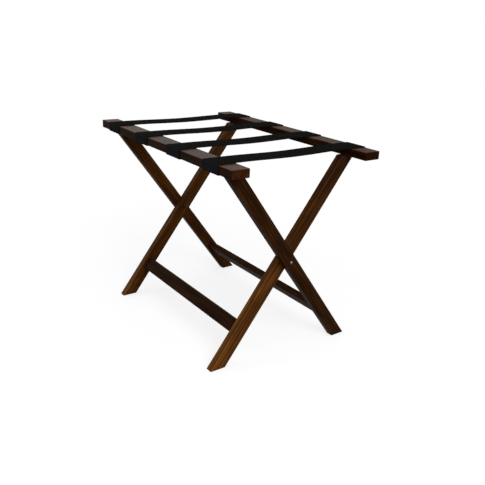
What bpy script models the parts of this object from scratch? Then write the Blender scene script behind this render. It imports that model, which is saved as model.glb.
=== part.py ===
"""Folding luggage rack: two hardwood frames crossed on a pair of pivot bolts, with four webbing straps.

Units are metres and +Z is up. X runs along the rails, Y across the rack, and the feet stand on
z = 0. The outer frame's legs rise towards -Y, the inner frame's legs rise towards +Y, and both
frames turn about one X axis through the pivot bolts. The rack is drawn open.
"""

import math

import bmesh
import bpy
from mathutils import Matrix, Vector

# ---- Overall sizes -----------------------------------------------------------------------------
HEIGHT = 0.508  # floor to the top of the wooden rails
SPREAD = 0.430  # over the outer faces of the two rails, open
RAIL_LENGTH = 0.630

# ---- Wooden stock ------------------------------------------------------------------------------
RAIL_WIDTH = 0.046
RAIL_THICK = 0.020
RAIL_EDGE = 0.0014  # eased edges
LEG_WIDTH = 0.033
LEG_THICK = 0.019
LEG_EDGE = 0.0009
STRETCHER_WIDTH = 0.035
STRETCHER_THICK = 0.018
STRETCHER_EDGE = 0.0010
EDGE_STEPS = 4  # flats that make up each eased edge

# ---- How the frames are laid out ---------------------------------------------------------------
OUTER_LEG_INSET = 0.043  # rail end to the outer face of an outer leg
LEG_GAP = 0.005  # between an outer leg and the inner leg beside it
FOOT_OFFSET = 0.186  # centre of a foot from the middle of the rack
LEG_SETBACK = 0.0154  # rail's outer face to the near corner of a leg's top
STRETCHER_UP = 0.108  # foot to stretcher centre, measured along the leg

# ---- Pivots ------------------------------------------------------------------------------------
BOLT_DIAMETER = 0.0060
BOLT_HEAD_DIAMETER = 0.0085
BOLT_HEAD_HEIGHT = 0.0022
SPACER_DIAMETER = 0.0170
NUT_DIAMETER = 0.0095
NUT_HEIGHT = 0.0036
NUT_DOME = 0.0012

# ---- Dowels ------------------------------------------------------------------------------------
DOWEL_DIAMETER = 0.0060
DOWEL_CHAMFER = 0.0008
TOP_DOWEL_IN_RAIL = 0.0130
TOP_DOWEL_IN_LEG = 0.0190
TOP_DOWEL_SHIFT = (-0.0100, 0.0)  # across the leg from its centre line, negative is outboard
SIDE_DOWEL_IN_LEG = 0.0110
SIDE_DOWEL_IN_STRETCHER = 0.0190
SIDE_DOWEL_SHIFT = (-0.0090, 0.0090)

# ---- Webbing -----------------------------------------------------------------------------------
STRAP_WIDTH = 0.060
STRAP_THICK = 0.0018
STRAP_PITCH = 0.158
STRAP_COUNT = 4
FLAP_TO_LEG = 0.0029  # end of the strap's flap, below the rail, to the leg's top
STRAP_STUB = 0.0080  # part of a span that stays with the inner rail

# ---- Staples -----------------------------------------------------------------------------------
STAPLE_CROWN = 0.0110
STAPLE_WIRE_WIDE = 0.0012
STAPLE_WIRE_THICK = 0.0006
STAPLE_LEG = 0.0080
STAPLE_SPACING = 0.0300
STAPLE_FROM_END = 0.0043  # staple line to the cut end of the flap

# ---- Clearances --------------------------------------------------------------------------------
GAP = 0.0003  # between pieces that touch
TURNING_GAP = 0.00035  # around a turning shank

# ---- Derived places ----------------------------------------------------------------------------
RAIL_BOTTOM = HEIGHT - RAIL_THICK
RAIL_OUT = SPREAD / 2
RAIL_IN = RAIL_OUT - RAIL_WIDTH
LEG_TOP = RAIL_BOTTOM - GAP
FLAP_DEPTH = LEG_SETBACK - FLAP_TO_LEG  # how far a strap turns in below the rail
STAPLE_FROM_EDGE = FLAP_DEPTH - STAPLE_FROM_END
# A leg's top is wider along the rail's underside the more the leg leans, so its centre is found
# by stepping to the place where its near corner keeps the setback.
LEG_TOP_OFFSET = RAIL_OUT - LEG_SETBACK
for _ in range(40):
    lean = math.hypot(RAIL_BOTTOM, LEG_TOP_OFFSET + FOOT_OFFSET) / RAIL_BOTTOM
    LEG_TOP_OFFSET = RAIL_OUT - LEG_SETBACK - LEG_WIDTH / 2 * lean
LEG_DIR = Vector((0.0, -(LEG_TOP_OFFSET + FOOT_OFFSET), RAIL_BOTTOM)).normalized()
LEG_ACROSS = Vector((0.0, LEG_DIR.z, -LEG_DIR.y))  # across an outer leg, towards +Y and up
LEG_HALF_FLAT = LEG_WIDTH / 2 / LEG_DIR.z  # half a leg's width along the floor
PIVOT_Z = RAIL_BOTTOM * FOOT_OFFSET / (FOOT_OFFSET + LEG_TOP_OFFSET)
OUTER_LEG_X = RAIL_LENGTH / 2 - OUTER_LEG_INSET - LEG_THICK / 2
INNER_LEG_X = OUTER_LEG_X - LEG_THICK - LEG_GAP
STRAP_UNDER = HEIGHT + GAP
STRAP_X = [(i - (STRAP_COUNT - 1) / 2) * STRAP_PITCH for i in range(STRAP_COUNT)]
PIVOT = Vector((0.0, 0.0, PIVOT_Z))
WEBBING_HINGE = Vector((0.0, -RAIL_IN, HEIGHT))

for old in list(bpy.data.objects):
    bpy.data.objects.remove(old, do_unlink=True)


# ---- Materials ---------------------------------------------------------------------------------
def principled(name, colour, roughness, metallic=0.0):
    material = bpy.data.materials.new(name)
    material.use_nodes = True
    shader = material.node_tree.nodes["Principled BSDF"]
    shader.inputs["Base Color"].default_value = (*colour, 1.0)
    shader.inputs["Roughness"].default_value = roughness
    shader.inputs["Metallic"].default_value = metallic
    return material


WALNUT = principled("walnut_stained_hardwood", (0.055, 0.020, 0.008), 0.30)
BEECH = principled("beech_dowel", (0.52, 0.34, 0.18), 0.60)
STEEL = principled("bronzed_steel", (0.170, 0.130, 0.095), 0.34, 1.0)
NYLON = principled("black_nylon", (0.020, 0.020, 0.021), 0.45)
WEBBING = principled("black_webbing", (0.010, 0.011, 0.013), 0.62)
STAPLE_WIRE = principled("staple_wire", (0.55, 0.55, 0.55), 0.35, 1.0)


# ---- Helpers -----------------------------------------------------------------------------------
def pivot_empty(name, at):
    empty = bpy.data.objects.new(name, None)
    empty.location = at
    bpy.context.scene.collection.objects.link(empty)
    return empty


def add_piece(name, bm, material, origin, parent=None):
    """Turns a bmesh drawn in world space into an object whose origin is at origin."""
    bmesh.ops.recalc_face_normals(bm, faces=bm.faces)
    bmesh.ops.translate(bm, verts=bm.verts, vec=-Vector(origin))
    mesh = bpy.data.meshes.new(name)
    bm.to_mesh(mesh)
    bm.free()
    mesh.materials.append(material)
    piece = bpy.data.objects.new(name, mesh)
    piece.parent = parent
    piece.location = Vector(origin) - (parent.location if parent else Vector())
    bpy.context.scene.collection.objects.link(piece)
    return piece


def cut(piece, name, bm, parent=None):
    """Cuts a bmesh drawn in world space out of a piece."""
    cutter = add_piece(name, bm, WALNUT, (0.0, 0.0, 0.0), parent)
    cutter.hide_render = True
    cutter.display_type = "WIRE"
    boolean = piece.modifiers.new(name, "BOOLEAN")
    boolean.operation = "DIFFERENCE"
    boolean.solver = "EXACT"
    boolean.object = cutter


def add_prism(bm, outline, x_low, x_high):
    """Adds a prism along X over an outline of (y, z) points."""
    low = [bm.verts.new((x_low, y, z)) for y, z in outline]
    high = [bm.verts.new((x_high, y, z)) for y, z in outline]
    bm.faces.new(low)
    bm.faces.new(reversed(high))
    for i in range(len(outline)):
        j = (i + 1) % len(outline)
        bm.faces.new((low[i], high[i], high[j], low[j]))


def add_turned(bm, profile, start, direction, segments=24):
    """Adds a turned solid: profile holds (distance along direction, radius) from one end."""
    direction = Vector(direction).normalized()
    side = direction.orthogonal().normalized()
    other = direction.cross(side)
    rings = []
    for along, radius in profile:
        centre = Vector(start) + direction * along
        if radius == 0.0:
            rings.append([bm.verts.new(centre)])
            continue
        ring = []
        for k in range(segments):
            turn = 2 * math.pi * k / segments
            spoke = side * math.cos(turn) + other * math.sin(turn)
            ring.append(bm.verts.new(centre + spoke * radius))
        rings.append(ring)
    for a, b in zip(rings, rings[1:]):
        for k in range(segments):
            n = (k + 1) % segments
            quad = [a[k % len(a)], a[n % len(a)], b[n % len(b)], b[k % len(b)]]
            corners = list(dict.fromkeys(quad))
            if len(corners) > 2:
                bm.faces.new(corners)
    for ring in (rings[0], rings[-1]):
        if len(ring) > 1:
            bm.faces.new(ring)


def ease_edges(bm, edges, radius):
    bmesh.ops.recalc_face_normals(bm, faces=bm.faces)
    bmesh.ops.bevel(bm, geom=edges, offset=radius, offset_type="OFFSET", segments=EDGE_STEPS,
                    profile=0.5, affect="EDGES")


def dowel_profile(length, radius, chamfer):
    return [(0.0, radius - chamfer), (chamfer, radius), (length - chamfer, radius),
            (length, radius - chamfer)]


def leg_point(side, up, across, x):
    """World point on a leg: up its centre line from the foot, across it, at x. side is +1 outer."""
    point = Vector((0.0, FOOT_OFFSET, 0.0)) + LEG_DIR * up + LEG_ACROSS * across
    return Vector((x, side * point.y, point.z))


LEG_RUN = RAIL_BOTTOM / LEG_DIR.z  # centre line, floor to rail
PIVOT_UP = PIVOT_Z / LEG_DIR.z

# The inner frame turns about the pivot bolts, and the straps about the outer rail's inner edge.
fold_axis = pivot_empty("fold_axis", PIVOT)
webbing_axis = pivot_empty("webbing_axis", WEBBING_HINGE)

# ---- Rails: a flat board on top of each frame, eased all round ----------------------------------
rails = {}
for frame, side, parent in (("outer", -1, None), ("inner", 1, fold_axis)):
    bm = bmesh.new()
    y_low, y_high = sorted((side * RAIL_IN, side * RAIL_OUT))
    add_prism(bm, [(y_low, RAIL_BOTTOM), (y_high, RAIL_BOTTOM), (y_high, HEIGHT), (y_low, HEIGHT)],
              -RAIL_LENGTH / 2, RAIL_LENGTH / 2)
    ease_edges(bm, list(bm.edges), RAIL_EDGE)
    origin = PIVOT if parent else (0.0, side * (RAIL_OUT + RAIL_IN) / 2, RAIL_BOTTOM)
    rails[frame] = add_piece(frame + "_rail", bm, WALNUT, origin, parent)

# ---- Legs: slanted boards cut level at the floor and below the rail -----------------------------
legs = {}
for frame, side, leg_x, parent in (("outer", 1, OUTER_LEG_X, None),
                                   ("inner", -1, INNER_LEG_X, fold_axis)):
    for hand, x_sign in (("left", -1), ("right", 1)):
        bm = bmesh.new()
        top_shift = (LEG_TOP_OFFSET + FOOT_OFFSET) * LEG_TOP / RAIL_BOTTOM
        foot_y = side * FOOT_OFFSET
        top_y = side * (FOOT_OFFSET - top_shift)
        outline = [(foot_y - LEG_HALF_FLAT, 0.0), (foot_y + LEG_HALF_FLAT, 0.0),
                   (top_y + LEG_HALF_FLAT, LEG_TOP), (top_y - LEG_HALF_FLAT, LEG_TOP)]
        add_prism(bm, outline, x_sign * leg_x - LEG_THICK / 2, x_sign * leg_x + LEG_THICK / 2)
        long_edges = [e for e in bm.edges if abs(e.verts[0].co.z - e.verts[1].co.z) > LEG_TOP / 2]
        ease_edges(bm, long_edges, LEG_EDGE)
        origin = Vector((x_sign * leg_x, 0.0, PIVOT_Z))
        legs[frame, hand] = add_piece(frame + "_leg_" + hand, bm, WALNUT, origin, parent)

# ---- Stretchers: a flat board between each frame's legs, lying in the plane of the frame --------
stretchers = {}
for frame, side, leg_x, parent in (("outer", 1, OUTER_LEG_X, None),
                                   ("inner", -1, INNER_LEG_X, fold_axis)):
    bm = bmesh.new()
    half = leg_x - LEG_THICK / 2 - GAP
    corners = [leg_point(side, STRETCHER_UP + u * STRETCHER_WIDTH / 2, v * STRETCHER_THICK / 2, 0.0)
               for u, v in ((-1, -1), (1, -1), (1, 1), (-1, 1))]
    add_prism(bm, [(c.y, c.z) for c in corners], -half, half)
    long_edges = [e for e in bm.edges if abs(e.verts[0].co.x - e.verts[1].co.x) > half]
    ease_edges(bm, long_edges, STRETCHER_EDGE)
    origin = PIVOT if parent else leg_point(side, STRETCHER_UP, 0.0, 0.0)
    stretchers[frame] = add_piece(frame + "_stretcher", bm, WALNUT, origin, parent)

# ---- Pivots: bolt from outside, spacer between the legs, domed nut inside ------------------------
INNER_FACE_X = INNER_LEG_X - LEG_THICK / 2
OUTER_FACE_X = OUTER_LEG_X + LEG_THICK / 2
for hand, x_sign in (("left", -1), ("right", 1)):
    inward = Vector((-x_sign, 0.0, 0.0))
    head_seat = Vector((x_sign * (OUTER_FACE_X + GAP), 0.0, PIVOT_Z))
    nut_seat = INNER_FACE_X - GAP
    shank = OUTER_FACE_X + GAP - nut_seat + NUT_HEIGHT - NUT_DOME - GAP
    head, shank_r = BOLT_HEAD_DIAMETER / 2, BOLT_DIAMETER / 2
    bm = bmesh.new()
    add_turned(bm, [(-BOLT_HEAD_HEIGHT, 0.0), (-BOLT_HEAD_HEIGHT * 0.94, head * 0.38),
                    (-BOLT_HEAD_HEIGHT * 0.74, head * 0.70), (-BOLT_HEAD_HEIGHT * 0.40, head * 0.93),
                    (-BOLT_HEAD_HEIGHT * 0.15, head), (0.0, head), (0.0, shank_r),
                    (shank - 0.0005, shank_r), (shank, shank_r - 0.0005)], head_seat, inward)
    add_piece("pivot_bolt_" + hand, bm, STEEL, head_seat)

    for frame, leg_x, parent in (("outer", OUTER_LEG_X, None), ("inner", INNER_LEG_X, fold_axis)):
        bm = bmesh.new()
        start = Vector((x_sign * leg_x, 0.0, PIVOT_Z)) - inward * LEG_THICK
        add_turned(bm, [(0.0, shank_r + TURNING_GAP), (2 * LEG_THICK, shank_r + TURNING_GAP)],
                   start, inward, 32)
        cut(legs[frame, hand], frame + "_" + hand + "_bolt_hole", bm, parent)

    bm = bmesh.new()
    spacer_at = Vector((x_sign * (OUTER_LEG_X - LEG_THICK / 2 - GAP), 0.0, PIVOT_Z))
    thick = LEG_GAP - 2 * GAP
    add_turned(bm, [(0.0, SPACER_DIAMETER / 2), (thick, SPACER_DIAMETER / 2)], spacer_at, inward, 32)
    spacer = add_piece("pivot_spacer_" + hand, bm, NYLON, spacer_at)
    bm = bmesh.new()
    add_turned(bm, [(0.0, shank_r + TURNING_GAP), (3 * thick, shank_r + TURNING_GAP)],
               spacer_at - inward * thick, inward, 32)
    cut(spacer, "spacer_hole_" + hand, bm)

    bm = bmesh.new()
    nut_at = Vector((x_sign * nut_seat, 0.0, PIVOT_Z))
    nut = NUT_DIAMETER / 2
    add_turned(bm, [(0.0, shank_r + GAP), (0.0, nut), (NUT_HEIGHT - NUT_DOME, nut),
                    (NUT_HEIGHT - NUT_DOME * 0.45, nut * 0.88), (NUT_HEIGHT - NUT_DOME * 0.1, nut * 0.5),
                    (NUT_HEIGHT, 0.0)], nut_at, inward)
    bm.faces.ensure_lookup_table()
    bmesh.ops.delete(bm, geom=[f for f in bm.faces if len(f.verts) > 4], context="FACES_ONLY")
    mouth = [e for e in bm.edges if e.is_boundary]
    socket = bmesh.ops.extrude_edge_only(bm, edges=mouth)["geom"]
    floor_verts = [g for g in socket if isinstance(g, bmesh.types.BMVert)]
    bmesh.ops.translate(bm, verts=floor_verts, vec=inward * (NUT_HEIGHT - NUT_DOME))
    bmesh.ops.holes_fill(bm, edges=[e for e in bm.edges if e.is_boundary], sides=0)
    add_piece("pivot_nut_" + hand, bm, STEEL, nut_at)

# ---- Dowels from each leg's top into its rail ----------------------------------------------------
for frame, side, leg_x, parent in (("outer", 1, OUTER_LEG_X, None),
                                   ("inner", -1, INNER_LEG_X, fold_axis)):
    rail_cut = bmesh.new()
    for hand, x_sign in (("left", -1), ("right", 1)):
        leg_cut = bmesh.new()
        for letter, shift in zip("ab", TOP_DOWEL_SHIFT):
            top = leg_point(side, LEG_RUN, shift, x_sign * leg_x)
            way = leg_point(side, 1.0, 0.0, 0.0) - leg_point(side, 0.0, 0.0, 0.0)
            start = top - way * TOP_DOWEL_IN_LEG
            length = TOP_DOWEL_IN_LEG + TOP_DOWEL_IN_RAIL
            bm = bmesh.new()
            add_turned(bm, dowel_profile(length, DOWEL_DIAMETER / 2, DOWEL_CHAMFER), start, way, 16)
            name = frame + "_leg_" + hand + "_dowel_" + letter
            add_piece(name, bm, BEECH, PIVOT if parent else start, parent)
            hole = [(-GAP, DOWEL_DIAMETER / 2 + GAP), (length + GAP, DOWEL_DIAMETER / 2 + GAP)]
            add_turned(leg_cut, hole, start, way, 16)
            add_turned(rail_cut, hole, start, way, 16)
        cut(legs[frame, hand], frame + "_" + hand + "_top_dowel_holes", leg_cut, parent)
    cut(rails[frame], frame + "_rail_dowel_holes", rail_cut, parent)

# ---- Dowels from each leg's inner face into the stretcher ----------------------------------------
for frame, side, leg_x, parent in (("outer", 1, OUTER_LEG_X, None),
                                   ("inner", -1, INNER_LEG_X, fold_axis)):
    stretcher_cut = bmesh.new()
    for hand, x_sign in (("left", -1), ("right", 1)):
        inward = Vector((-x_sign, 0.0, 0.0))
        leg_cut = bmesh.new()
        for letter, shift in zip("ab", SIDE_DOWEL_SHIFT):
            start_x = x_sign * (leg_x - LEG_THICK / 2 + SIDE_DOWEL_IN_LEG)
            start = leg_point(side, STRETCHER_UP + shift, 0.0, start_x)
            length = SIDE_DOWEL_IN_LEG + SIDE_DOWEL_IN_STRETCHER
            bm = bmesh.new()
            add_turned(bm, dowel_profile(length, DOWEL_DIAMETER / 2, DOWEL_CHAMFER), start, inward, 16)
            name = frame + "_stretcher_" + hand + "_dowel_" + letter
            add_piece(name, bm, BEECH, PIVOT if parent else start, parent)
            hole = [(-GAP, DOWEL_DIAMETER / 2 + GAP), (length + GAP, DOWEL_DIAMETER / 2 + GAP)]
            add_turned(leg_cut, hole, start, inward, 16)
            add_turned(stretcher_cut, hole, start, inward, 16)
        cut(legs[frame, hand], frame + "_" + hand + "_side_dowel_holes", leg_cut, parent)
    cut(stretchers[frame], frame + "_stretcher_dowel_holes", stretcher_cut, parent)


# ---- Straps --------------------------------------------------------------------------------------
def wrap_outline(side, inner_end):
    """(y, z) outline of a strap from inner_end over a rail's top, down its face and in below it."""
    clear = RAIL_EDGE + GAP
    offsets = []
    for depth in (0.0, STRAP_THICK):
        radius = clear + depth
        line = [(inner_end, STRAP_UNDER + depth)]
        for centre_z, first in ((HEIGHT - RAIL_EDGE, 90.0), (RAIL_BOTTOM + RAIL_EDGE, 0.0)):
            for k in range(6):
                turn = math.radians(first - 18.0 * k)
                line.append((RAIL_OUT - RAIL_EDGE + radius * math.cos(turn),
                             centre_z + radius * math.sin(turn)))
        line.append((RAIL_OUT - FLAP_DEPTH, RAIL_BOTTOM - GAP - depth))
        offsets.append([(side * y, z) for y, z in line])
    return offsets[0] + offsets[1][::-1]


def staple_boxes(side, x, spread):
    """Boxes (x0, x1, y0, y1, z0, z1) of a staple's two legs, grown sideways and up by spread."""
    y = side * (RAIL_OUT - STAPLE_FROM_EDGE)
    crown_top = RAIL_BOTTOM - GAP - STRAP_THICK - GAP
    boxes = []
    for end in (-1, 1):
        middle = x + end * (STAPLE_CROWN - STAPLE_WIRE_WIDE) / 2
        half_x, half_y = STAPLE_WIRE_WIDE / 2 + spread, STAPLE_WIRE_THICK / 2 + spread
        boxes.append((middle - half_x, middle + half_x, y - half_y, y + half_y,
                      crown_top - (0.001 if spread else 0.0), crown_top + STAPLE_LEG + spread))
    return boxes


def add_box(bm, box):
    x0, x1, y0, y1, z0, z1 = box
    add_prism(bm, [(y0, z0), (y1, z0), (y1, z1), (y0, z1)], x0, x1)


for frame, side, parent in (("outer", -1, None), ("inner", 1, fold_axis)):
    rail_slots = bmesh.new()
    for number, strap_x in enumerate(STRAP_X, 1):
        strap = "strap_" + str(number) + "_" + frame
        inner_end = RAIL_IN if frame == "outer" else RAIL_IN - STRAP_STUB
        bm = bmesh.new()
        add_prism(bm, wrap_outline(side, inner_end), strap_x - STRAP_WIDTH / 2,
                  strap_x + STRAP_WIDTH / 2)
        origin = PIVOT if parent else (strap_x, side * RAIL_OUT, HEIGHT)
        wrap = add_piece(strap + "_wrap", bm, WEBBING, origin, parent)
        wrap_slots = bmesh.new()
        for letter, end in (("a", -1), ("b", 1)):
            x = strap_x + end * STAPLE_SPACING / 2
            for box in staple_boxes(side, x, GAP):
                add_box(rail_slots, box)
                add_box(wrap_slots, box)
            # A staple: flat wire bent to a crown and two legs.
            y = side * (RAIL_OUT - STAPLE_FROM_EDGE)
            top = RAIL_BOTTOM - GAP - STRAP_THICK - GAP
            half, wire = STAPLE_CROWN / 2, STAPLE_WIRE_WIDE
            outline = [(-half, -STAPLE_WIRE_THICK), (half, -STAPLE_WIRE_THICK), (half, STAPLE_LEG),
                       (half - wire, STAPLE_LEG), (half - wire, 0.0), (wire - half, 0.0),
                       (wire - half, STAPLE_LEG), (-half, STAPLE_LEG)]
            bm = bmesh.new()
            for depth in (-STAPLE_WIRE_THICK / 2, STAPLE_WIRE_THICK / 2):
                ring = [bm.verts.new((x + u, y + depth, top + w)) for u, w in outline]
                bm.faces.new(ring)
            verts = list(bm.verts)
            n = len(outline)
            for i in range(n):
                j = (i + 1) % n
                bm.faces.new((verts[i], verts[j], verts[n + j], verts[n + i]))
            add_piece(strap + "_staple_" + letter, bm, STAPLE_WIRE, PIVOT if parent else (x, y, top),
                      parent)
        cut(wrap, strap + "_wrap_slots", wrap_slots, parent)
    cut(rails[frame], frame + "_rail_staple_slots", rail_slots, parent)

for number, strap_x in enumerate(STRAP_X, 1):
    bm = bmesh.new()
    y_low, y_high = -RAIL_IN + GAP, RAIL_IN - STRAP_STUB - GAP
    add_box(bm, (strap_x - STRAP_WIDTH / 2, strap_x + STRAP_WIDTH / 2, y_low, y_high, STRAP_UNDER,
                 STRAP_UNDER + STRAP_THICK))
    add_piece("strap_" + str(number) + "_span", bm, WEBBING, WEBBING_HINGE, webbing_axis)

# ---- Shading: turned pieces are smooth, boards keep their edges ----------------------------------
for piece in bpy.data.objects:
    if piece.type == "MESH" and piece.name.startswith(("pivot_", "outer_leg", "inner_leg")):
        piece.data.shade_smooth()
        piece.data.set_sharp_from_angle(angle=math.radians(35.0))
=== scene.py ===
"""Folding luggage rack: the finish of its boards, its woven straps, its pivots and its staples."""

import math

import bmesh
import bpy
from mathutils import Matrix, Vector


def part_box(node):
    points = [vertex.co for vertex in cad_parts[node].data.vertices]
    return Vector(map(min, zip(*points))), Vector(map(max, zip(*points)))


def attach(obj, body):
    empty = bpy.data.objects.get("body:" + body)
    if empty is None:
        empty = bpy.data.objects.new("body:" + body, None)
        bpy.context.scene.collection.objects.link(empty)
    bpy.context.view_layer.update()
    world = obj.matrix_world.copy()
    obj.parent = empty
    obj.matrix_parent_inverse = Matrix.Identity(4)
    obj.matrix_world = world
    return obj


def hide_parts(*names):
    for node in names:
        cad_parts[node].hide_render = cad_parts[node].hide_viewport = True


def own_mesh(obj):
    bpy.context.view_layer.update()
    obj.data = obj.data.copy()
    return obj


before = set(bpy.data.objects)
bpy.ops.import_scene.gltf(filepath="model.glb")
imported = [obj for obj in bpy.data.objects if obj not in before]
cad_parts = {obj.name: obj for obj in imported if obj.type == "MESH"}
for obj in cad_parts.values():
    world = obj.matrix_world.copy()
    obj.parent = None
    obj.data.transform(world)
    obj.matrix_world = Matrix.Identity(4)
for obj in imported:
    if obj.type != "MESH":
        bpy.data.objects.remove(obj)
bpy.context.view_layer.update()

# ---- Boards ------------------------------------------------------------------------------------
# Two rails, four legs and two stretchers of planed hardwood with eased edges. Each board is
# stained walnut, so its pores take the most colour, and is sprayed with satin lacquer. The boards
# themselves are the frame's own solids; only their finish is made here.

STAIN_STEPS = (
    (0.00, (0.0075, 0.0026, 0.0010)),
    (0.34, (0.0240, 0.0082, 0.0024)),
    (0.62, (0.0620, 0.0208, 0.0042)),
    (0.84, (0.1150, 0.0410, 0.0070)),
    (1.00, (0.1900, 0.0740, 0.0120)),
)
END_GRAIN_STAIN = ((0.30, (0.0200, 0.0050, 0.0020)), (0.70, (0.0850, 0.0235, 0.0060)))
RUBBED_EDGE_AND_HIGHLIGHT = (0.1500, 0.0640, 0.0190, 1.0)  # worn stain and a painted highlight on the eased edges
LEG_SHINE = 0.030  # of the lacquer's mirror-like part
STRETCHER_SHINE = 0.022
OUTER_RAIL_SHINE = 0.028  # cases have dulled the rails
INNER_RAIL_SHINE = 0.008
RAIL_TOP_PAINTED_SHEEN = 0.28  # how much the rails' upper sides are lightened, a painted sheen
LACQUER_TINT = (1.0, 0.62, 0.34, 1.0)  # amber, seen straight on
LACQUER_ROUGH = (0.26, 0.40)
GROWTH_RING = 0.0085  # metres from ring to ring
RING_LENGTH = 0.10  # rings are this much closer together across the grain than along it
RING_SWING = 0.020  # metres
BOARD_MIDDLE = 0.27  # up a leg
# Cycles per metre along, across and through the grain.
SWING_WAVES = (2.2, 16.0, 16.0)
FIBRES = (9.0, 300.0, 300.0)
FIGURE = (8.0, 62.0, 62.0)
PORES = (55.0, 1500.0, 1500.0)
CLOUDS = (8.0, 26.0, 26.0)
END_BLOTCHES = (300.0, 130.0, 130.0)
EDGE_PATCHES = (14.0, 40.0, 40.0)
# How much each one changes the stain, and what their sum is on average.
RING_SHARE = 0.26
FIBRE_SHARE = 0.62
FIGURE_SHARE = 0.66
CLOUD_SHARE = 0.62
PORE_SHARE = 0.16
MIDDLE_TONE = 0.735
GRAIN_RELIEF = {"Strength": 0.22, "Distance": 0.00025}


def add_node(tree, kind, values=None, **settings):
    """Adds a node, sets its options, then the values of its named inputs."""
    node = tree.nodes.new(kind)
    for key, value in settings.items():
        setattr(node, key, value)
    for key, value in (values or {}).items():
        node.inputs[key].default_value = value
    return node


def blank_material(name):
    material = bpy.data.materials.new(name)
    material.use_nodes = True
    tree = material.node_tree
    tree.nodes.clear()
    shader = add_node(tree, "ShaderNodeBsdfPrincipled")
    output = add_node(tree, "ShaderNodeOutputMaterial")
    tree.links.new(shader.outputs["BSDF"], output.inputs["Surface"])
    return material, tree, shader


def math_node(tree, operation, first, second=None, clamp=False):
    """A Math node whose inputs are sockets or numbers; returns its output."""
    node = add_node(tree, "ShaderNodeMath", operation=operation, use_clamp=clamp)
    for slot, value in enumerate((first, second)):
        if value is None:
            continue
        if isinstance(value, (int, float)):
            node.inputs[slot].default_value = value
        else:
            tree.links.new(value, node.inputs[slot])
    return node.outputs[0]


def stretched_noise(tree, coords, stretch, detail, roughness=0.55):
    """Noise on coordinates scaled by stretch, in cycles per metre."""
    scaled = add_node(tree, "ShaderNodeMapping", {"Scale": stretch})
    tree.links.new(coords, scaled.inputs["Vector"])
    noise = add_node(tree, "ShaderNodeTexNoise",
                     {"Scale": 1.0, "Detail": detail, "Roughness": roughness})
    tree.links.new(scaled.outputs["Vector"], noise.inputs["Vector"])
    return noise.outputs


def colour_steps(tree, factor, steps):
    ramp = add_node(tree, "ShaderNodeValToRGB")
    stops = ramp.color_ramp.elements
    while len(stops) < len(steps):
        stops.new(0.5)
    for stop, (place, colour) in zip(stops, steps):
        stop.position = place
        stop.color = (*colour, 1.0)
    tree.links.new(factor, ramp.inputs["Fac"])
    return ramp.outputs["Color"]


def mixed_colour(tree, factor, first, second):
    """A mix of a colour socket with another, or with a colour."""
    mix = add_node(tree, "ShaderNodeMix", data_type="RGBA")
    tree.links.new(factor, mix.inputs["Factor"])
    tree.links.new(first, mix.inputs["A"])
    if isinstance(second, tuple):
        mix.inputs["B"].default_value = second
    else:
        tree.links.new(second, mix.inputs["B"])
    return mix.outputs["Result"]


def map_range(tree, value, low, high, to_low, to_high):
    node = add_node(tree, "ShaderNodeMapRange", {"From Min": low, "From Max": high,
                                                 "To Min": to_low, "To Max": to_high})
    tree.links.new(value, node.inputs["Value"])
    return node.outputs["Result"]


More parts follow.
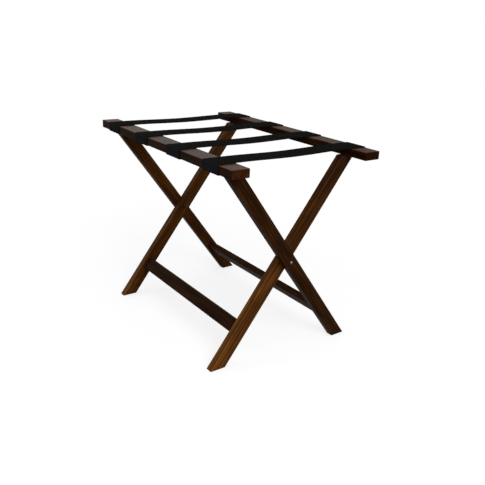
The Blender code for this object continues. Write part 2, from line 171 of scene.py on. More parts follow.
def stained_board(name, turn, heart, depth, drift, end_depth, shine, top_painted_sheen=0.0):
    """Stained wood. turn brings the grain to X, heart moves the tree's heart, depth lightens the
    sides, drift changes that for each metre along the grain, end_depth lightens the cut ends,
    shine is the lacquer's, and top_painted_sheen lightens the upper side of a level board: a
    painted sheen."""
    material, tree, shader = blank_material(name)
    link = tree.links.new
    place = add_node(tree, "ShaderNodeTexCoord")
    along = add_node(tree, "ShaderNodeMapping", {"Rotation": turn, "Location": heart})
    link(place.outputs["Object"], along.inputs["Vector"])
    grain = along.outputs["Vector"]

    # The rings wander a little along the board.
    wander = stretched_noise(tree, grain, SWING_WAVES, 2.0)["Color"]
    centred = add_node(tree, "ShaderNodeVectorMath", operation="SUBTRACT")
    centred.inputs[1].default_value = (0.5, 0.5, 0.5)
    link(wander, centred.inputs[0])
    swing = add_node(tree, "ShaderNodeVectorMath", {"Scale": RING_SWING}, operation="SCALE")
    link(centred.outputs[0], swing.inputs[0])
    bent = add_node(tree, "ShaderNodeVectorMath", operation="ADD")
    link(grain, bent.inputs[0])
    link(swing.outputs[0], bent.inputs[1])
    flat = add_node(tree, "ShaderNodeMapping", {"Scale": (RING_LENGTH, 1.0, 1.0)})
    link(bent.outputs[0], flat.inputs["Vector"])
    rings = add_node(tree, "ShaderNodeTexWave",
                     {"Scale": math.pi / 10 / GROWTH_RING, "Distortion": 2.2, "Detail": 3.0,
                      "Detail Scale": 1.4, "Detail Roughness": 0.6},
                     wave_type="RINGS", rings_direction="X", wave_profile="SAW")
    link(flat.outputs["Vector"], rings.inputs["Vector"])

    fibre = stretched_noise(tree, grain, FIBRES, 4.0, 0.62)["Fac"]
    figure = stretched_noise(tree, grain, FIGURE, 3.0, 0.5)["Fac"]
    pore = stretched_noise(tree, grain, PORES, 1.0, 0.4)["Fac"]
    pores = map_range(tree, pore, 0.60, 0.70, 0.0, 1.0)
    cloud = stretched_noise(tree, grain, CLOUDS, 3.0, 0.5)["Fac"]
    run = add_node(tree, "ShaderNodeSeparateXYZ")
    link(grain, run.inputs["Vector"])
    # Distance along the grain from the board's middle; times drift it paints shade on the inner
    # right leg.
    fade = math_node(tree, "SUBTRACT", run.outputs["X"], heart[0] + BOARD_MIDDLE)

    # The stain's tone, from 0, darkest, to 1.
    tone = math_node(tree, "MULTIPLY", rings.outputs["Fac"], RING_SHARE)
    for part, share in ((fibre, FIBRE_SHARE), (figure, FIGURE_SHARE), (fade, drift),
                        (cloud, CLOUD_SHARE)):
        tone = math_node(tree, "ADD", tone, math_node(tree, "MULTIPLY", part, share))
    tone = math_node(tree, "ADD", tone, depth - MIDDLE_TONE)
    facing = add_node(tree, "ShaderNodeMapping", {"Rotation": turn}, vector_type="VECTOR")
    link(place.outputs["Normal"], facing.inputs["Vector"])
    parts = add_node(tree, "ShaderNodeSeparateXYZ")
    link(facing.outputs["Vector"], parts.inputs["Vector"])
    # Painted sheen: the upper side of a level board is lightened by top_painted_sheen in place of
    # its reflection.
    upward = math_node(tree, "MAXIMUM", parts.outputs["Z"], 0.0)
    tone = math_node(tree, "ADD", tone, math_node(tree, "MULTIPLY", upward, top_painted_sheen))
    tone = math_node(tree, "SUBTRACT", tone, math_node(tree, "MULTIPLY", pores, PORE_SHARE), True)
    colour = colour_steps(tree, tone, STAIN_STEPS)

    # Cut ends drink the stain unevenly and turn redder; the eased edges are lightened in patches,
    # partly rubbed stain and partly a painted highlight.
    toward = {axis: math_node(tree, "ABSOLUTE", parts.outputs[axis]) for axis in "XYZ"}
    blotch = stretched_noise(tree, grain, END_BLOTCHES, 3.0, 0.6)["Fac"]
    blotch = math_node(tree, "ADD", blotch, end_depth)
    colour = mixed_colour(tree, map_range(tree, toward["X"], 0.55, 0.78, 0.0, 0.80), colour,
                          colour_steps(tree, blotch, END_GRAIN_STAIN))
    eased = map_range(tree, math_node(tree, "MINIMUM", toward["Y"], toward["Z"]),
                      0.12, 0.45, 0.0, 0.55)
    patch = stretched_noise(tree, grain, EDGE_PATCHES, 3.0, 0.6)["Fac"]
    edge_wear_and_highlight = math_node(tree, "MULTIPLY", eased, map_range(tree, patch, 0.42, 0.66, 0.0, 1.0))
    link(mixed_colour(tree, edge_wear_and_highlight, colour, RUBBED_EDGE_AND_HIGHLIGHT), shader.inputs["Base Color"])

    link(map_range(tree, fibre, 0.3, 0.7, *LACQUER_ROUGH), shader.inputs["Roughness"])
    shader.inputs["Specular IOR Level"].default_value = shine
    shader.inputs["Specular Tint"].default_value = LACQUER_TINT
    relief = math_node(tree, "SUBTRACT", math_node(tree, "MULTIPLY", fibre, 0.55), pores)
    bump = add_node(tree, "ShaderNodeBump", GRAIN_RELIEF)
    link(relief, bump.inputs["Height"])
    link(bump.outputs["Normal"], shader.inputs["Normal"])
    return material


def finish_node(node, material):
    """Gives a node of the frame its finish."""
    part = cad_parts[node]
    if not part.material_slots:
        part.data.materials.append(material)
    for slot in part.material_slots:
        slot.material = material


LEG_LEAN = math.radians(36.8)  # of a leg from upright
ALONG_X = (0.0, 0.0, 0.0)
ALONG_OUTER_LEG = (-LEG_LEAN, math.pi / 2, 0.0)
ALONG_INNER_LEG = (LEG_LEAN, math.pi / 2, 0.0)
ALONG_OUTER_STRETCHER = (-LEG_LEAN, 0.0, 0.0)
ALONG_INNER_STRETCHER = (LEG_LEAN, 0.0, 0.0)
BOARDS = (
    ("outer_rail", ALONG_X, (0.10, 0.262, -0.530), -0.18, 0.0, -0.06, OUTER_RAIL_SHINE,
     RAIL_TOP_PAINTED_SHEEN),
    ("inner_rail", ALONG_X, (0.70, -0.150, -0.470), -0.16, 0.0, -0.34, INNER_RAIL_SHINE,
     RAIL_TOP_PAINTED_SHEEN),
    ("outer_leg_left", ALONG_OUTER_LEG, (0.30, 0.040, -0.310), 0.16, 0.0, 0.0, LEG_SHINE),
    ("outer_leg_right", ALONG_OUTER_LEG, (1.10, 0.050, 0.230), -0.05, -0.10, 0.0, LEG_SHINE),
    ("inner_leg_left", ALONG_INNER_LEG, (1.90, 0.030, -0.270), 0.27, 0.0, 0.0, LEG_SHINE),
    # On the inner right leg drift is painted shade: it darkens the leg towards its top, under the
    # rail and straps.
    ("inner_leg_right", ALONG_INNER_LEG, (2.70, 0.060, 0.280), 0.21, -0.66, 0.0, LEG_SHINE),
    ("outer_stretcher", ALONG_OUTER_STRETCHER, (3.30, -0.110, -0.060), -0.05, 0.0, 0.0,
     STRETCHER_SHINE),
    ("inner_stretcher", ALONG_INNER_STRETCHER, (3.90, 0.160, -0.120), -0.20, 0.0, 0.0,
     STRETCHER_SHINE),
)
for board, *cut_from in BOARDS:
    finish_node(board, stained_board("stain_" + board, *cut_from))

# ---- Dowels ------------------------------------------------------------------------------------
# Turned beech pegs, glued where each leg meets its rail and each stretcher meets its legs. They
# stay inside the wood.

BEECH = ((0.3, (0.40, 0.24, 0.11)), (0.7, (0.60, 0.41, 0.23)))


def flecked_material(name, waves, detail, colours, rough):
    """A material flecked with noise, waves in cycles per metre; rough is its lowest and highest
    roughness. Returns it with its shader."""
    material, tree, shader = blank_material(name)
    place = add_node(tree, "ShaderNodeTexCoord")
    flecks = stretched_noise(tree, place.outputs["Object"], waves, detail)["Fac"]
    tree.links.new(colour_steps(tree, flecks, colours), shader.inputs["Base Color"])
    tree.links.new(map_range(tree, flecks, 0.3, 0.7, *rough), shader.inputs["Roughness"])
    return material, shader


beech, shader = flecked_material("bare_beech", (90.0, 900.0, 900.0), 3.0, BEECH, (0.55, 0.68))
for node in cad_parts:
    if "_dowel_" in node:
        finish_node(node, beech)

# ---- Straps ------------------------------------------------------------------------------------
# Four lengths of ribbed black nylon webbing from rail to rail, each folded over the rails' outer
# edges and stapled below. One strap is three pieces here: a wrap on each rail and the span between
# them.

STRAP_THICK = 0.0018
STRAP_CLEAR = 0.0003  # strap to wood
RAIL_EDGE = 0.0014
FLAP_DEPTH = 0.0125  # from the rail's outer face in to the cut end
RIB_PITCH = 0.0014
RIB_HEIGHT = 0.00013
RIB_STEPS = 4  # rings of points for each rib
YARN_PITCH = 0.0015
EDGE_ROUND = 0.42  # of its edges, as a share of its thickness
SPAN_STEPS = 48
SPAN_SAG = 0.0026
STRAP_TOP = ((0.25, (0.0012, 0.0012, 0.0010)), (0.80, (0.0078, 0.0076, 0.0066)))
# Painted sheen: the steep sides' lighter, bluer colour stands in for the satin's reflection.
STRAP_SIDE_PAINTED_SHEEN = ((0.25, (0.0040, 0.0042, 0.0054)), (0.80, (0.0175, 0.0180, 0.0225)))
STRAP_BEND_GREY = (0.0300, 0.0300, 0.0290, 1.0)
STRAP_SHINE = 0.007
STRAP_ROUGH = (0.66, 0.82)
FLUFF = (1600.0, 260.0, 1.0)  # cycles per metre across and along
WORN_PATCHES = (60.0, 25.0, 1.0)
WEAVE_RELIEF = {"Strength": 0.55, "Distance": 0.0002}


def named_tree(name, inputs):
    """A Geometry Nodes tree with one geometry in and out and the named inputs."""
    tree = bpy.data.node_groups.new(name, "GeometryNodeTree")
    tree.interface.new_socket(name="Geometry", in_out="INPUT", socket_type="NodeSocketGeometry")
    for title, kind in inputs:
        tree.interface.new_socket(name=title, in_out="INPUT", socket_type="NodeSocket" + kind)
    tree.interface.new_socket(name="Geometry", in_out="OUTPUT", socket_type="NodeSocketGeometry")
    return tree, add_node(tree, "NodeGroupInput"), add_node(tree, "NodeGroupOutput")


def grow(name, mesh, tree, values):
    """Runs a tree on a mesh and returns the result as a plain mesh object."""
    seed = bpy.data.objects.new(name + "_seed", mesh)
    bpy.context.scene.collection.objects.link(seed)
    grower = seed.modifiers.new("grow", "NODES")
    grower.node_group = tree
    for item in tree.interface.items_tree:
        if item.item_type == "SOCKET" and item.in_out == "INPUT" and item.name in values:
            grower[item.identifier] = values[item.name]
    bpy.context.view_layer.update()
    grown = seed.evaluated_get(bpy.context.evaluated_depsgraph_get())
    piece = bpy.data.objects.new(name, bpy.data.meshes.new_from_object(grown))
    bpy.context.scene.collection.objects.link(piece)
    bpy.data.objects.remove(seed, do_unlink=True)
    return piece


def polyline(name, points):
    mesh = bpy.data.meshes.new(name)
    mesh.from_pydata(points, [(i, i + 1) for i in range(len(points) - 1)], [])
    return mesh


# The weave: the path is cut into short steps, a flat section with round edges is swept along it,
# and the surface is raised at each rib. Places along and across the strap are kept for the finish.
weave_tree, given, result = named_tree("woven_strap", (
    ("Width", "Float"), ("Thickness", "Float"), ("Rib pitch", "Float"), ("Rib height", "Float"),
    ("Material", "Material")))
link = weave_tree.links.new
path = add_node(weave_tree, "GeometryNodeMeshToCurve")
link(given.outputs["Geometry"], path.inputs["Mesh"])
step = math_node(weave_tree, "DIVIDE", given.outputs["Rib pitch"], RIB_STEPS)
cut_path = add_node(weave_tree, "GeometryNodeResampleCurve", mode="LENGTH")
link(path.outputs["Curve"], cut_path.inputs["Curve"])
link(step, cut_path.inputs["Length"])
travel = add_node(weave_tree, "GeometryNodeSplineParameter")
keep_along = add_node(weave_tree, "GeometryNodeStoreNamedAttribute", {"Name": "along"},
                      data_type="FLOAT", domain="POINT")
link(cut_path.outputs["Curve"], keep_along.inputs["Geometry"])
link(travel.outputs["Length"], keep_along.inputs["Value"])
section = add_node(weave_tree, "GeometryNodeCurvePrimitiveQuadrilateral")
link(given.outputs["Width"], section.inputs["Width"])
link(given.outputs["Thickness"], section.inputs["Height"])
round_off = add_node(weave_tree, "GeometryNodeFilletCurve", {"Count": 3, "Limit Radius": True},
                     mode="POLY")
link(section.outputs["Curve"], round_off.inputs["Curve"])
link(math_node(weave_tree, "MULTIPLY", given.outputs["Thickness"], EDGE_ROUND),
     round_off.inputs["Radius"])
fine_section = add_node(weave_tree, "GeometryNodeSubdivideCurve", {"Cuts": 1})
link(round_off.outputs["Curve"], fine_section.inputs["Curve"])
spot = add_node(weave_tree, "GeometryNodeInputPosition")
split = add_node(weave_tree, "ShaderNodeSeparateXYZ")
link(spot.outputs["Position"], split.inputs["Vector"])
keep_across = add_node(weave_tree, "GeometryNodeStoreNamedAttribute", {"Name": "across"},
                       data_type="FLOAT", domain="POINT")
link(fine_section.outputs["Curve"], keep_across.inputs["Geometry"])
link(split.outputs["X"], keep_across.inputs["Value"])
sweep = add_node(weave_tree, "GeometryNodeCurveToMesh", {"Fill Caps": True})
link(keep_along.outputs["Geometry"], sweep.inputs["Curve"])
link(keep_across.outputs["Geometry"], sweep.inputs["Profile Curve"])
read_along = add_node(weave_tree, "GeometryNodeInputNamedAttribute", {"Name": "along"},
                      data_type="FLOAT")
turns = math_node(weave_tree, "DIVIDE", read_along.outputs["Attribute"], given.outputs["Rib pitch"])
wave = math_node(weave_tree, "COSINE", math_node(weave_tree, "MULTIPLY", turns, 2 * math.pi))
lift = math_node(weave_tree, "MULTIPLY", math_node(weave_tree, "ADD", wave, -1.0),
                 given.outputs["Rib height"])
outward = add_node(weave_tree, "GeometryNodeInputNormal")
push = add_node(weave_tree, "ShaderNodeVectorMath", operation="SCALE")
link(outward.outputs["Normal"], push.inputs[0])
link(lift, push.inputs["Scale"])
raise_ribs = add_node(weave_tree, "GeometryNodeSetPosition")
link(sweep.outputs["Mesh"], raise_ribs.inputs["Geometry"])
link(push.outputs[0], raise_ribs.inputs["Offset"])
soften = add_node(weave_tree, "GeometryNodeSetShadeSmooth")
link(raise_ribs.outputs["Geometry"], soften.inputs["Geometry"])
realise = add_node(weave_tree, "GeometryNodeRealizeInstances")
link(soften.outputs["Geometry"], realise.inputs["Geometry"])
dress = add_node(weave_tree, "GeometryNodeSetMaterial")
link(realise.outputs["Geometry"], dress.inputs["Geometry"])
link(given.outputs["Material"], dress.inputs["Material"])
link(dress.outputs["Geometry"], result.inputs["Geometry"])

# The finish: warp yarns side by side, each passing over and under the ribs in turn.
webbing, tree, shader = blank_material("black_nylon_webbing")
link = tree.links.new
along = add_node(tree, "ShaderNodeAttribute", attribute_name="along").outputs["Fac"]
across = add_node(tree, "ShaderNodeAttribute", attribute_name="across").outputs["Fac"]
yarn = math_node(tree, "DIVIDE", across, YARN_PITCH)
odd = math_node(tree, "MODULO", math_node(tree, "FLOOR", math_node(tree, "ADD", yarn, 200.0)), 2.0)
rib = math_node(tree, "ADD", math_node(tree, "DIVIDE", along, RIB_PITCH), odd)
over = math_node(tree, "COSINE", math_node(tree, "MULTIPLY", rib, math.pi))
over = map_range(tree, over, -1.0, 1.0, 0.0, 1.0)
round_yarn = math_node(tree, "ABSOLUTE",
                       math_node(tree, "SINE", math_node(tree, "MULTIPLY", yarn, math.pi)))
height = math_node(tree, "MULTIPLY", math_node(tree, "ADD", over, 0.35), round_yarn)
fluff_at = add_node(tree, "ShaderNodeCombineXYZ")
link(across, fluff_at.inputs["X"])
link(along, fluff_at.inputs["Y"])
fluff = stretched_noise(tree, fluff_at.outputs["Vector"], FLUFF, 3.0, 0.6)["Fac"]
worn = stretched_noise(tree, fluff_at.outputs["Vector"], WORN_PATCHES, 2.0, 0.5)["Fac"]
shade = math_node(tree, "ADD", math_node(tree, "MULTIPLY", height, 0.45),
                  math_node(tree, "MULTIPLY", fluff, 0.40))
shade = math_node(tree, "ADD", shade, math_node(tree, "MULTIPLY", worn, 0.22), True)
# The upper side keeps the webbing's black; the steep sides are lighter and bluer, a painted
# sheen, and the bends are lighter grey.
place = add_node(tree, "ShaderNodeTexCoord")
facing = add_node(tree, "ShaderNodeSeparateXYZ")
link(place.outputs["Normal"], facing.inputs["Vector"])
level = math_node(tree, "ABSOLUTE", facing.outputs["Z"])
top_and_sheen_sides = mixed_colour(tree, map_range(tree, level, 0.15, 0.85, 0.0, 1.0),
                         colour_steps(tree, shade, STRAP_SIDE_PAINTED_SHEEN),
                         colour_steps(tree, shade, STRAP_TOP))
# Where the surface turns between level and upright, the raised yarns are mixed towards grey.
off_bend = math_node(tree, "ABSOLUTE", math_node(tree, "SUBTRACT", level, 0.7))
bend_grey = math_node(tree, "MULTIPLY", map_range(tree, off_bend, 0.05, 0.22, 0.55, 0.0),
                map_range(tree, worn, 0.35, 0.65, 0.2, 1.0))
link(mixed_colour(tree, math_node(tree, "MULTIPLY", bend_grey, over), top_and_sheen_sides, STRAP_BEND_GREY),
     shader.inputs["Base Color"])
link(map_range(tree, fluff, 0.3, 0.7, *STRAP_ROUGH), shader.inputs["Roughness"])
shader.inputs["Specular IOR Level"].default_value = STRAP_SHINE
bump = add_node(tree, "ShaderNodeBump", WEAVE_RELIEF)
link(math_node(tree, "ADD", height, math_node(tree, "MULTIPLY", fluff, 0.3)),
     bump.inputs["Height"])
link(bump.outputs["Normal"], shader.inputs["Normal"])


def corner(centre_y, centre_z, radius, first, last, x, side, steps=7):
    """Points round a rail's edge, turning from first to last degrees."""
    points = []
    for k in range(steps):
        turn = math.radians(first + (last - first) * k / (steps - 1))
        points.append((x, side * (centre_y + radius * math.cos(turn)),
                       centre_z + radius * math.sin(turn)))
    return points


def webbing_piece(name, points, width):
    return grow(name, polyline(name + "_path", points), weave_tree,
                {"Width": width, "Thickness": STRAP_THICK, "Rib pitch": RIB_PITCH,
                 "Rib height": RIB_HEIGHT, "Material": webbing})


rail_low, rail_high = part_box("inner_rail")
rail_top, rail_bottom = rail_high.z, rail_low.z
rail_out = rail_high.y
half_thick = STRAP_THICK / 2
centre_line = rail_top + STRAP_CLEAR + half_thick
bend = RAIL_EDGE + STRAP_CLEAR + half_thick
for number in range(1, 5):
    strap = "strap_" + str(number)
    for rail, side in (("outer", -1), ("inner", 1)):
        low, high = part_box(strap + "_" + rail + "_wrap")
        x, width = (low.x + high.x) / 2, high.x - low.x
        starts = min(abs(low.y), abs(high.y))
        edge_y = rail_out - RAIL_EDGE
        path_points = [(x, side * starts, centre_line)]
        path_points += corner(edge_y, rail_top - RAIL_EDGE, bend, 90, 0, x, side)
        path_points += corner(edge_y, rail_bottom + RAIL_EDGE, bend, 0, -90, x, side)
        path_points.append((x, side * (rail_out - FLAP_DEPTH),
                            rail_bottom - STRAP_CLEAR - half_thick))
        wrap = webbing_piece(strap + "_" + rail + "_webbing", path_points, width)
        length = sum((Vector(a) - Vector(b)).length for a, b in zip(path_points, path_points[1:]))
        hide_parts(strap + "_" + rail + "_wrap")
        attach(wrap, rail + "_frame")

    low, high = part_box(strap + "_span")
    x, width, length = (low.x + high.x) / 2, high.x - low.x, high.y - low.y
    path_points = []
    for k in range(SPAN_STEPS + 1):
        drop = math.sin(math.pi * k / SPAN_STEPS) ** 2 * SPAN_SAG
        path_points.append((x, low.y + length * k / SPAN_STEPS, centre_line - drop))
    span = webbing_piece(strap + "_span_webbing", path_points, width)
    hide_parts(strap + "_span")
    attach(span, "webbing")
    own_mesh(span)

# ---- Staples -----------------------------------------------------------------------------------
# Fine galvanised wire, two staples below each rail under every strap's end. Their legs go through
# the webbing and into the rail.

STAPLE_CROWN = 0.0110
STAPLE_LEG = 0.0084
WIRE_THICK = 0.0006
STAPLE_BEND = 0.0009

ZINC = ((0.3, (0.42, 0.43, 0.44)), (0.7, (0.62, 0.62, 0.60)))

wire, shader = flecked_material("galvanised_wire", (700.0, 700.0, 700.0), 3.0, ZINC, (0.28, 0.44))
shader.inputs["Metallic"].default_value = 1.0

staple_tree, given, result = named_tree("staples", (
    ("Crown", "Float"), ("Leg", "Float"), ("Wire thickness", "Float"), ("Bend", "Float"),
    ("Material", "Material")))
link = staple_tree.links.new
# Four points in a row become leg end, bend, bend and leg end.
row = add_node(staple_tree, "GeometryNodeMeshLine", {"Count": 4})
index = add_node(staple_tree, "GeometryNodeInputIndex")
from_middle = math_node(staple_tree, "SUBTRACT", index.outputs["Index"], 1.5)
side_x = math_node(staple_tree, "MULTIPLY", math_node(staple_tree, "SIGN", from_middle),
                   math_node(staple_tree, "MULTIPLY", given.outputs["Crown"], 0.5))
is_end = math_node(staple_tree, "GREATER_THAN",
                   math_node(staple_tree, "ABSOLUTE", from_middle), 1.0)
end_z = math_node(staple_tree, "MULTIPLY", is_end, given.outputs["Leg"])
bent_at = add_node(staple_tree, "ShaderNodeCombineXYZ")
link(side_x, bent_at.inputs["X"])
link(end_z, bent_at.inputs["Z"])
shape = add_node(staple_tree, "GeometryNodeSetPosition")
link(row.outputs["Mesh"], shape.inputs["Geometry"])
link(bent_at.outputs["Vector"], shape.inputs["Position"])
wire_path = add_node(staple_tree, "GeometryNodeMeshToCurve")
link(shape.outputs["Geometry"], wire_path.inputs["Mesh"])
bends = add_node(staple_tree, "GeometryNodeFilletCurve", {"Count": 5}, mode="POLY")
link(wire_path.outputs["Curve"], bends.inputs["Curve"])
link(given.outputs["Bend"], bends.inputs["Radius"])
wire_section = add_node(staple_tree, "GeometryNodeCurvePrimitiveQuadrilateral")
link(given.outputs["Wire thickness"], wire_section.inputs["Width"])
link(given.outputs["Wire thickness"], wire_section.inputs["Height"])
soft_section = add_node(staple_tree, "GeometryNodeFilletCurve", {"Count": 2}, mode="POLY")
link(wire_section.outputs["Curve"], soft_section.inputs["Curve"])
link(math_node(staple_tree, "MULTIPLY", given.outputs["Wire thickness"], 0.3),
     soft_section.inputs["Radius"])
draw_wire = add_node(staple_tree, "GeometryNodeCurveToMesh", {"Fill Caps": True})
link(bends.outputs["Curve"], draw_wire.inputs["Curve"])
link(soft_section.outputs["Curve"], draw_wire.inputs["Profile Curve"])
drive = add_node(staple_tree, "GeometryNodeInstanceOnPoints")
link(given.outputs["Geometry"], drive.inputs["Points"])
link(draw_wire.outputs["Mesh"], drive.inputs["Instance"])
realise = add_node(staple_tree, "GeometryNodeRealizeInstances")
link(drive.outputs["Instances"], realise.inputs["Geometry"])
dress = add_node(staple_tree, "GeometryNodeSetMaterial")
link(realise.outputs["Geometry"], dress.inputs["Geometry"])
link(given.outputs["Material"], dress.inputs["Material"])
link(dress.outputs["Geometry"], result.inputs["Geometry"])

for rail in ("outer", "inner"):
    nodes = sorted(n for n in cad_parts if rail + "_staple_" in n)
    spots = []
    for node in nodes:
        low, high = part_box(node)
        spots.append(((low.x + high.x) / 2, (low.y + high.y) / 2, low.z + WIRE_THICK / 2))
    mesh = bpy.data.meshes.new(rail + "_staple_spots")
    mesh.from_pydata(spots, [], [])
    staples = grow(rail + "_rail_staples", mesh, staple_tree,
                   {"Crown": STAPLE_CROWN - WIRE_THICK, "Leg": STAPLE_LEG - WIRE_THICK / 2,
                    "Wire thickness": WIRE_THICK, "Bend": STAPLE_BEND, "Material": wire})
    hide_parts(*nodes)
    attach(staples, rail + "_frame")

# ---- Pivots ------------------------------------------------------------------------------------
# On each side a bronzed steel bolt with a low domed head and a six-sided socket goes in from the
# outer leg, through a black nylon spacer and the inner leg, into a small domed nut.

HEAD_TALL = 0.0022
SOCKET_ACROSS = 0.0030  # flats of the key
SOCKET_DEEP = 0.0012
TURNED_STEPS = 48
SHANK_RADIUS = 0.0030
SHANK_EASE = 0.0006
SPACER_BORE = 0.00335  # radius
SPACER_EASE = ((0.0, 0.0004), (0.00012, 0.00012), (0.0004, 0.0))  # along, and in from outside
NUT_BORE = 0.0033  # radius
NUT_WALL = 0.0012  # of its domed end
# Height and radius on the dome of the head and of the nut, as shares of the whole.
HEAD_CURVE = ((0.07, 0.60), (0.17, 0.74), (0.34, 0.87), (0.56, 0.96), (0.79, 1.0), (0.93, 0.995),
              (1.0, 0.97))
NUT_CURVE = ((0.55, 1.0), (0.72, 0.95), (0.86, 0.82), (0.95, 0.58), (0.99, 0.30))
RUBBED_BRONZE = ((0.3, (0.17, 0.13, 0.10)), (0.7, (0.31, 0.25, 0.20)))
DARK_BRONZE = ((0.3, (0.016, 0.012, 0.009)), (0.7, (0.040, 0.030, 0.022)))
BLACK_NYLON = ((0.3, (0.014, 0.014, 0.015)), (0.7, (0.027, 0.027, 0.028)))


def bronzed_steel(name, colours):
    """Bronze-plated steel, brushed round the axis."""
    material, shader = flecked_material(name, (900.0, 2600.0, 2600.0), 3.0, colours, (0.26, 0.40))
    shader.inputs["Metallic"].default_value = 1.0
    return material


rubbed_bronze = bronzed_steel("rubbed_bronze", RUBBED_BRONZE)
dark_bronze = bronzed_steel("dark_bronze", DARK_BRONZE)
nylon, shader = flecked_material("black_nylon", (400.0, 400.0, 400.0), 2.0, BLACK_NYLON,
                                 (0.38, 0.50))


def turned_piece(name, start, direction, profile, material):
    """A turned piece along X. profile holds (distance, radius, six-sided) rows from end to end."""
    bm = bmesh.new()
    rings = []
    for along, radius, six_sided in profile:
        at = Vector(start) + Vector((direction * along, 0.0, 0.0))
        if radius == 0.0:
            rings.append([bm.verts.new(at)])
            continue
        ring = []
        for k in range(TURNED_STEPS):
            turn = 2 * math.pi * k / TURNED_STEPS
            reach = radius
            if six_sided:
                reach = radius / math.cos((turn % (math.pi / 3)) - math.pi / 6)
            ring.append(bm.verts.new(at + Vector((0.0, math.cos(turn), math.sin(turn))) * reach))
        rings.append(ring)
    for a, b in zip(rings, rings[1:]):
        for k in range(TURNED_STEPS):
            n = (k + 1) % TURNED_STEPS
            corners = [a[k % len(a)], a[n % len(a)], b[n % len(b)], b[k % len(b)]]
            corners = list(dict.fromkeys(corners))
            if len(corners) > 2:
                bm.faces.new(corners)
    if len(rings[0]) > 1 and len(rings[-1]) > 1:  # a ring-shaped piece closes on itself
        for k in range(TURNED_STEPS):
            n = (k + 1) % TURNED_STEPS
            bm.faces.new((rings[-1][k], rings[-1][n], rings[0][n], rings[0][k]))
    bmesh.ops.recalc_face_normals(bm, faces=bm.faces)
    mesh = bpy.data.meshes.new(name)
    bm.to_mesh(mesh)
    bm.free()
    mesh.materials.append(material)
    mesh.shade_smooth()
    mesh.set_sharp_from_angle(angle=math.radians(32))
    piece = bpy.data.objects.new(name, mesh)
    bpy.context.scene.collection.objects.link(piece)
    return piece


def fit_on_pivot(kind, hand, finish, material, profile_of):
    """Turns a pivot piece from the outside in, where its node is, and fits it."""
    node = "pivot_" + kind + "_" + hand
    low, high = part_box(node)
    sign = 1 if hand == "right" else -1
    start = (high.x if sign > 0 else low.x, (low.y + high.y) / 2, (low.z + high.z) / 2)
    profile = profile_of(high.x - low.x, (high.z - low.z) / 2)
    piece = turned_piece(node + "_" + finish, start, -sign, profile, material)
    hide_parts(node)
    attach(piece, "outer_frame")


def bolt_profile(length, head):
    flat = SOCKET_ACROSS / 2
    dome = [(HEAD_TALL * height, head * radius, False) for height, radius in HEAD_CURVE]
    return ((SOCKET_DEEP, 0.0, False), (SOCKET_DEEP - 0.0001, flat * 0.5, True),
            (SOCKET_DEEP - 0.0002, flat, True), (0.00012, flat, True),
            (0.00002, flat + 0.00016, True), (0.0, flat + 0.0003, False), *dome,
            (HEAD_TALL, SHANK_RADIUS, False), (length - SHANK_EASE, SHANK_RADIUS, False),
            (length, SHANK_RADIUS - SHANK_EASE, False), (length, 0.0, False))


def spacer_profile(thick, outer):
    near = [(along, outer - inward, False) for along, inward in SPACER_EASE]
    far = [(thick - along, outer - inward, False) for along, inward in reversed(SPACER_EASE)]
    return ((0.0, SPACER_BORE, False), *near, *far, (thick, SPACER_BORE, False))


def nut_profile(tall, outer):
    dome = [(tall * height, outer * radius, False) for height, radius in NUT_CURVE]
    return ((tall - NUT_WALL, 0.0, False), (tall - NUT_WALL, NUT_BORE, False),
            (0.0, NUT_BORE, False), (0.0, outer * 0.96, False), (0.00015, outer, False), *dome,
            (tall, 0.0, False))


for hand in ("left", "right"):
    fit_on_pivot("bolt", hand, "plated", rubbed_bronze, bolt_profile)
    fit_on_pivot("spacer", hand, "moulded", nylon, spacer_profile)
    fit_on_pivot("nut", hand, "plated", dark_bronze, nut_profile)

# ---- Studio ------------------------------------------------------------------------------------
# A white floor and a white surround, a large soft lamp high on the right, a weaker one on the left,
# and the camera above the near end, looking down a little.

FLOOR_REACH = 9.0
FLOOR_GREY = 0.33
FLOOR_DROP = 0.0005  # below the feet
FLOOR_GLOW = (0.72, 0.79)  # under the rack, and further out
GLOW_REACH = (0.5, 2.0)  # metres from the middle, from where to where it changes
FLOOR_IN_GLOSS = 0.15  # share of the glow that polish on the object shows
SURROUND_LIGHT = 0.62
LAMP_AIM = (0.0, 0.0, 0.25)

floor_finish = bpy.data.materials.new("studio_floor")
floor_finish.use_nodes = True
tree = floor_finish.node_tree
tree.nodes.clear()
matt = add_node(tree, "ShaderNodeBsdfDiffuse", {"Color": (FLOOR_GREY,) * 3 + (1.0,)})
glow = add_node(tree, "ShaderNodeEmission", {"Color": (1.0, 1.0, 1.0, 1.0)})
rays = add_node(tree, "ShaderNodeLightPath")
seen = math_node(tree, "MAXIMUM", rays.outputs["Is Camera Ray"],
                 rays.outputs["Is Transmission Ray"])
polish = math_node(tree, "MULTIPLY", rays.outputs["Is Glossy Ray"], FLOOR_IN_GLOSS)
seen = math_node(tree, "MAXIMUM", seen, polish)
place = add_node(tree, "ShaderNodeTexCoord")
away = add_node(tree, "ShaderNodeVectorMath", operation="LENGTH")
tree.links.new(place.outputs["Object"], away.inputs[0])
level = map_range(tree, away.outputs["Value"], *GLOW_REACH, *FLOOR_GLOW)
tree.links.new(math_node(tree, "MULTIPLY", seen, level), glow.inputs["Strength"])
both = add_node(tree, "ShaderNodeAddShader")
output = add_node(tree, "ShaderNodeOutputMaterial")
tree.links.new(matt.outputs["BSDF"], both.inputs[0])
tree.links.new(glow.outputs["Emission"], both.inputs[1])
tree.links.new(both.outputs["Shader"], output.inputs["Surface"])
mesh = bpy.data.meshes.new("studio_floor")
around = [(FLOOR_REACH * math.cos(math.pi * k / 32), FLOOR_REACH * math.sin(math.pi * k / 32),
           -FLOOR_DROP) for k in range(64)]
mesh.from_pydata(around, [], [list(range(64))])
mesh.materials.append(floor_finish)
floor = bpy.data.objects.new("studio_floor", mesh)
bpy.context.scene.collection.objects.link(floor)

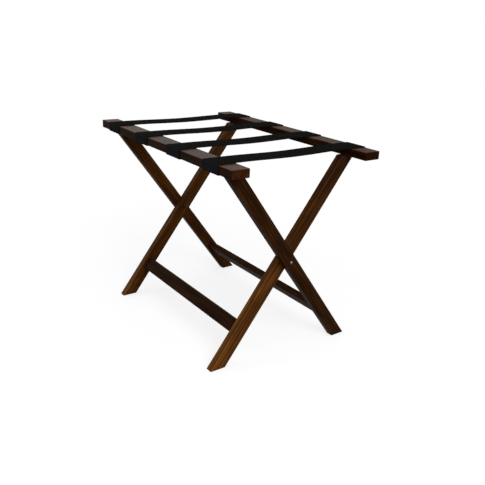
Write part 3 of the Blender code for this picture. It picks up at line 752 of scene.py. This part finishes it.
world = bpy.data.worlds.new("studio_surround")
world.use_nodes = True
tree = world.node_tree
tree.nodes.clear()
surround = add_node(tree, "ShaderNodeBackground", {"Color": (1.0, 1.0, 1.0, 1.0)})
rays = add_node(tree, "ShaderNodeLightPath")
seen = math_node(tree, "MAXIMUM", rays.outputs["Is Camera Ray"],
                 rays.outputs["Is Transmission Ray"])
seen = math_node(tree, "MAXIMUM", seen, rays.outputs["Is Glossy Ray"])
tree.links.new(math_node(tree, "MAXIMUM", seen, SURROUND_LIGHT), surround.inputs["Strength"])
output = add_node(tree, "ShaderNodeOutputWorld")
tree.links.new(surround.outputs["Background"], output.inputs["Surface"])
bpy.context.scene.world = world


def soft_lamp(name, place, power, size):
    lamp = bpy.data.lights.new(name, "AREA")
    lamp.shape = "SQUARE"
    lamp.size = size
    lamp.energy = power
    holder = bpy.data.objects.new(name, lamp)
    holder.location = place
    aim = Vector(LAMP_AIM) - Vector(place)
    holder.rotation_euler = aim.to_track_quat("-Z", "Y").to_euler()
    bpy.context.scene.collection.objects.link(holder)


soft_lamp("lamp_right", (2.3, -0.5, 1.9), 38.0, 1.4)
soft_lamp("lamp_left", (-1.2, -2.4, 1.8), 14.0, 1.6)

CAMERA_PLACE = (1.2569, -0.8818, 0.8003)
CAMERA_HEADING = 53.32  # degrees from +Y towards -X
CAMERA_TILT = 21.02  # degrees below level
CAMERA_ROLL = 2.69
CAMERA_LENS = 44.23

lens = bpy.data.cameras.new("camera")
lens.lens = CAMERA_LENS
lens.sensor_width = 36.0
camera = bpy.data.objects.new("camera", lens)
heading, tilt, roll = (math.radians(a) for a in (CAMERA_HEADING, CAMERA_TILT, CAMERA_ROLL))
turn = Matrix.Rotation(heading, 4, "Z") @ Matrix.Rotation(math.pi / 2 - tilt, 4, "X")
turn = turn @ Matrix.Rotation(roll, 4, "Z")
camera.matrix_world = Matrix.Translation(CAMERA_PLACE) @ turn
bpy.context.scene.collection.objects.link(camera)
bpy.context.scene.camera = camera
bpy.context.scene.view_settings.view_transform = "Standard"
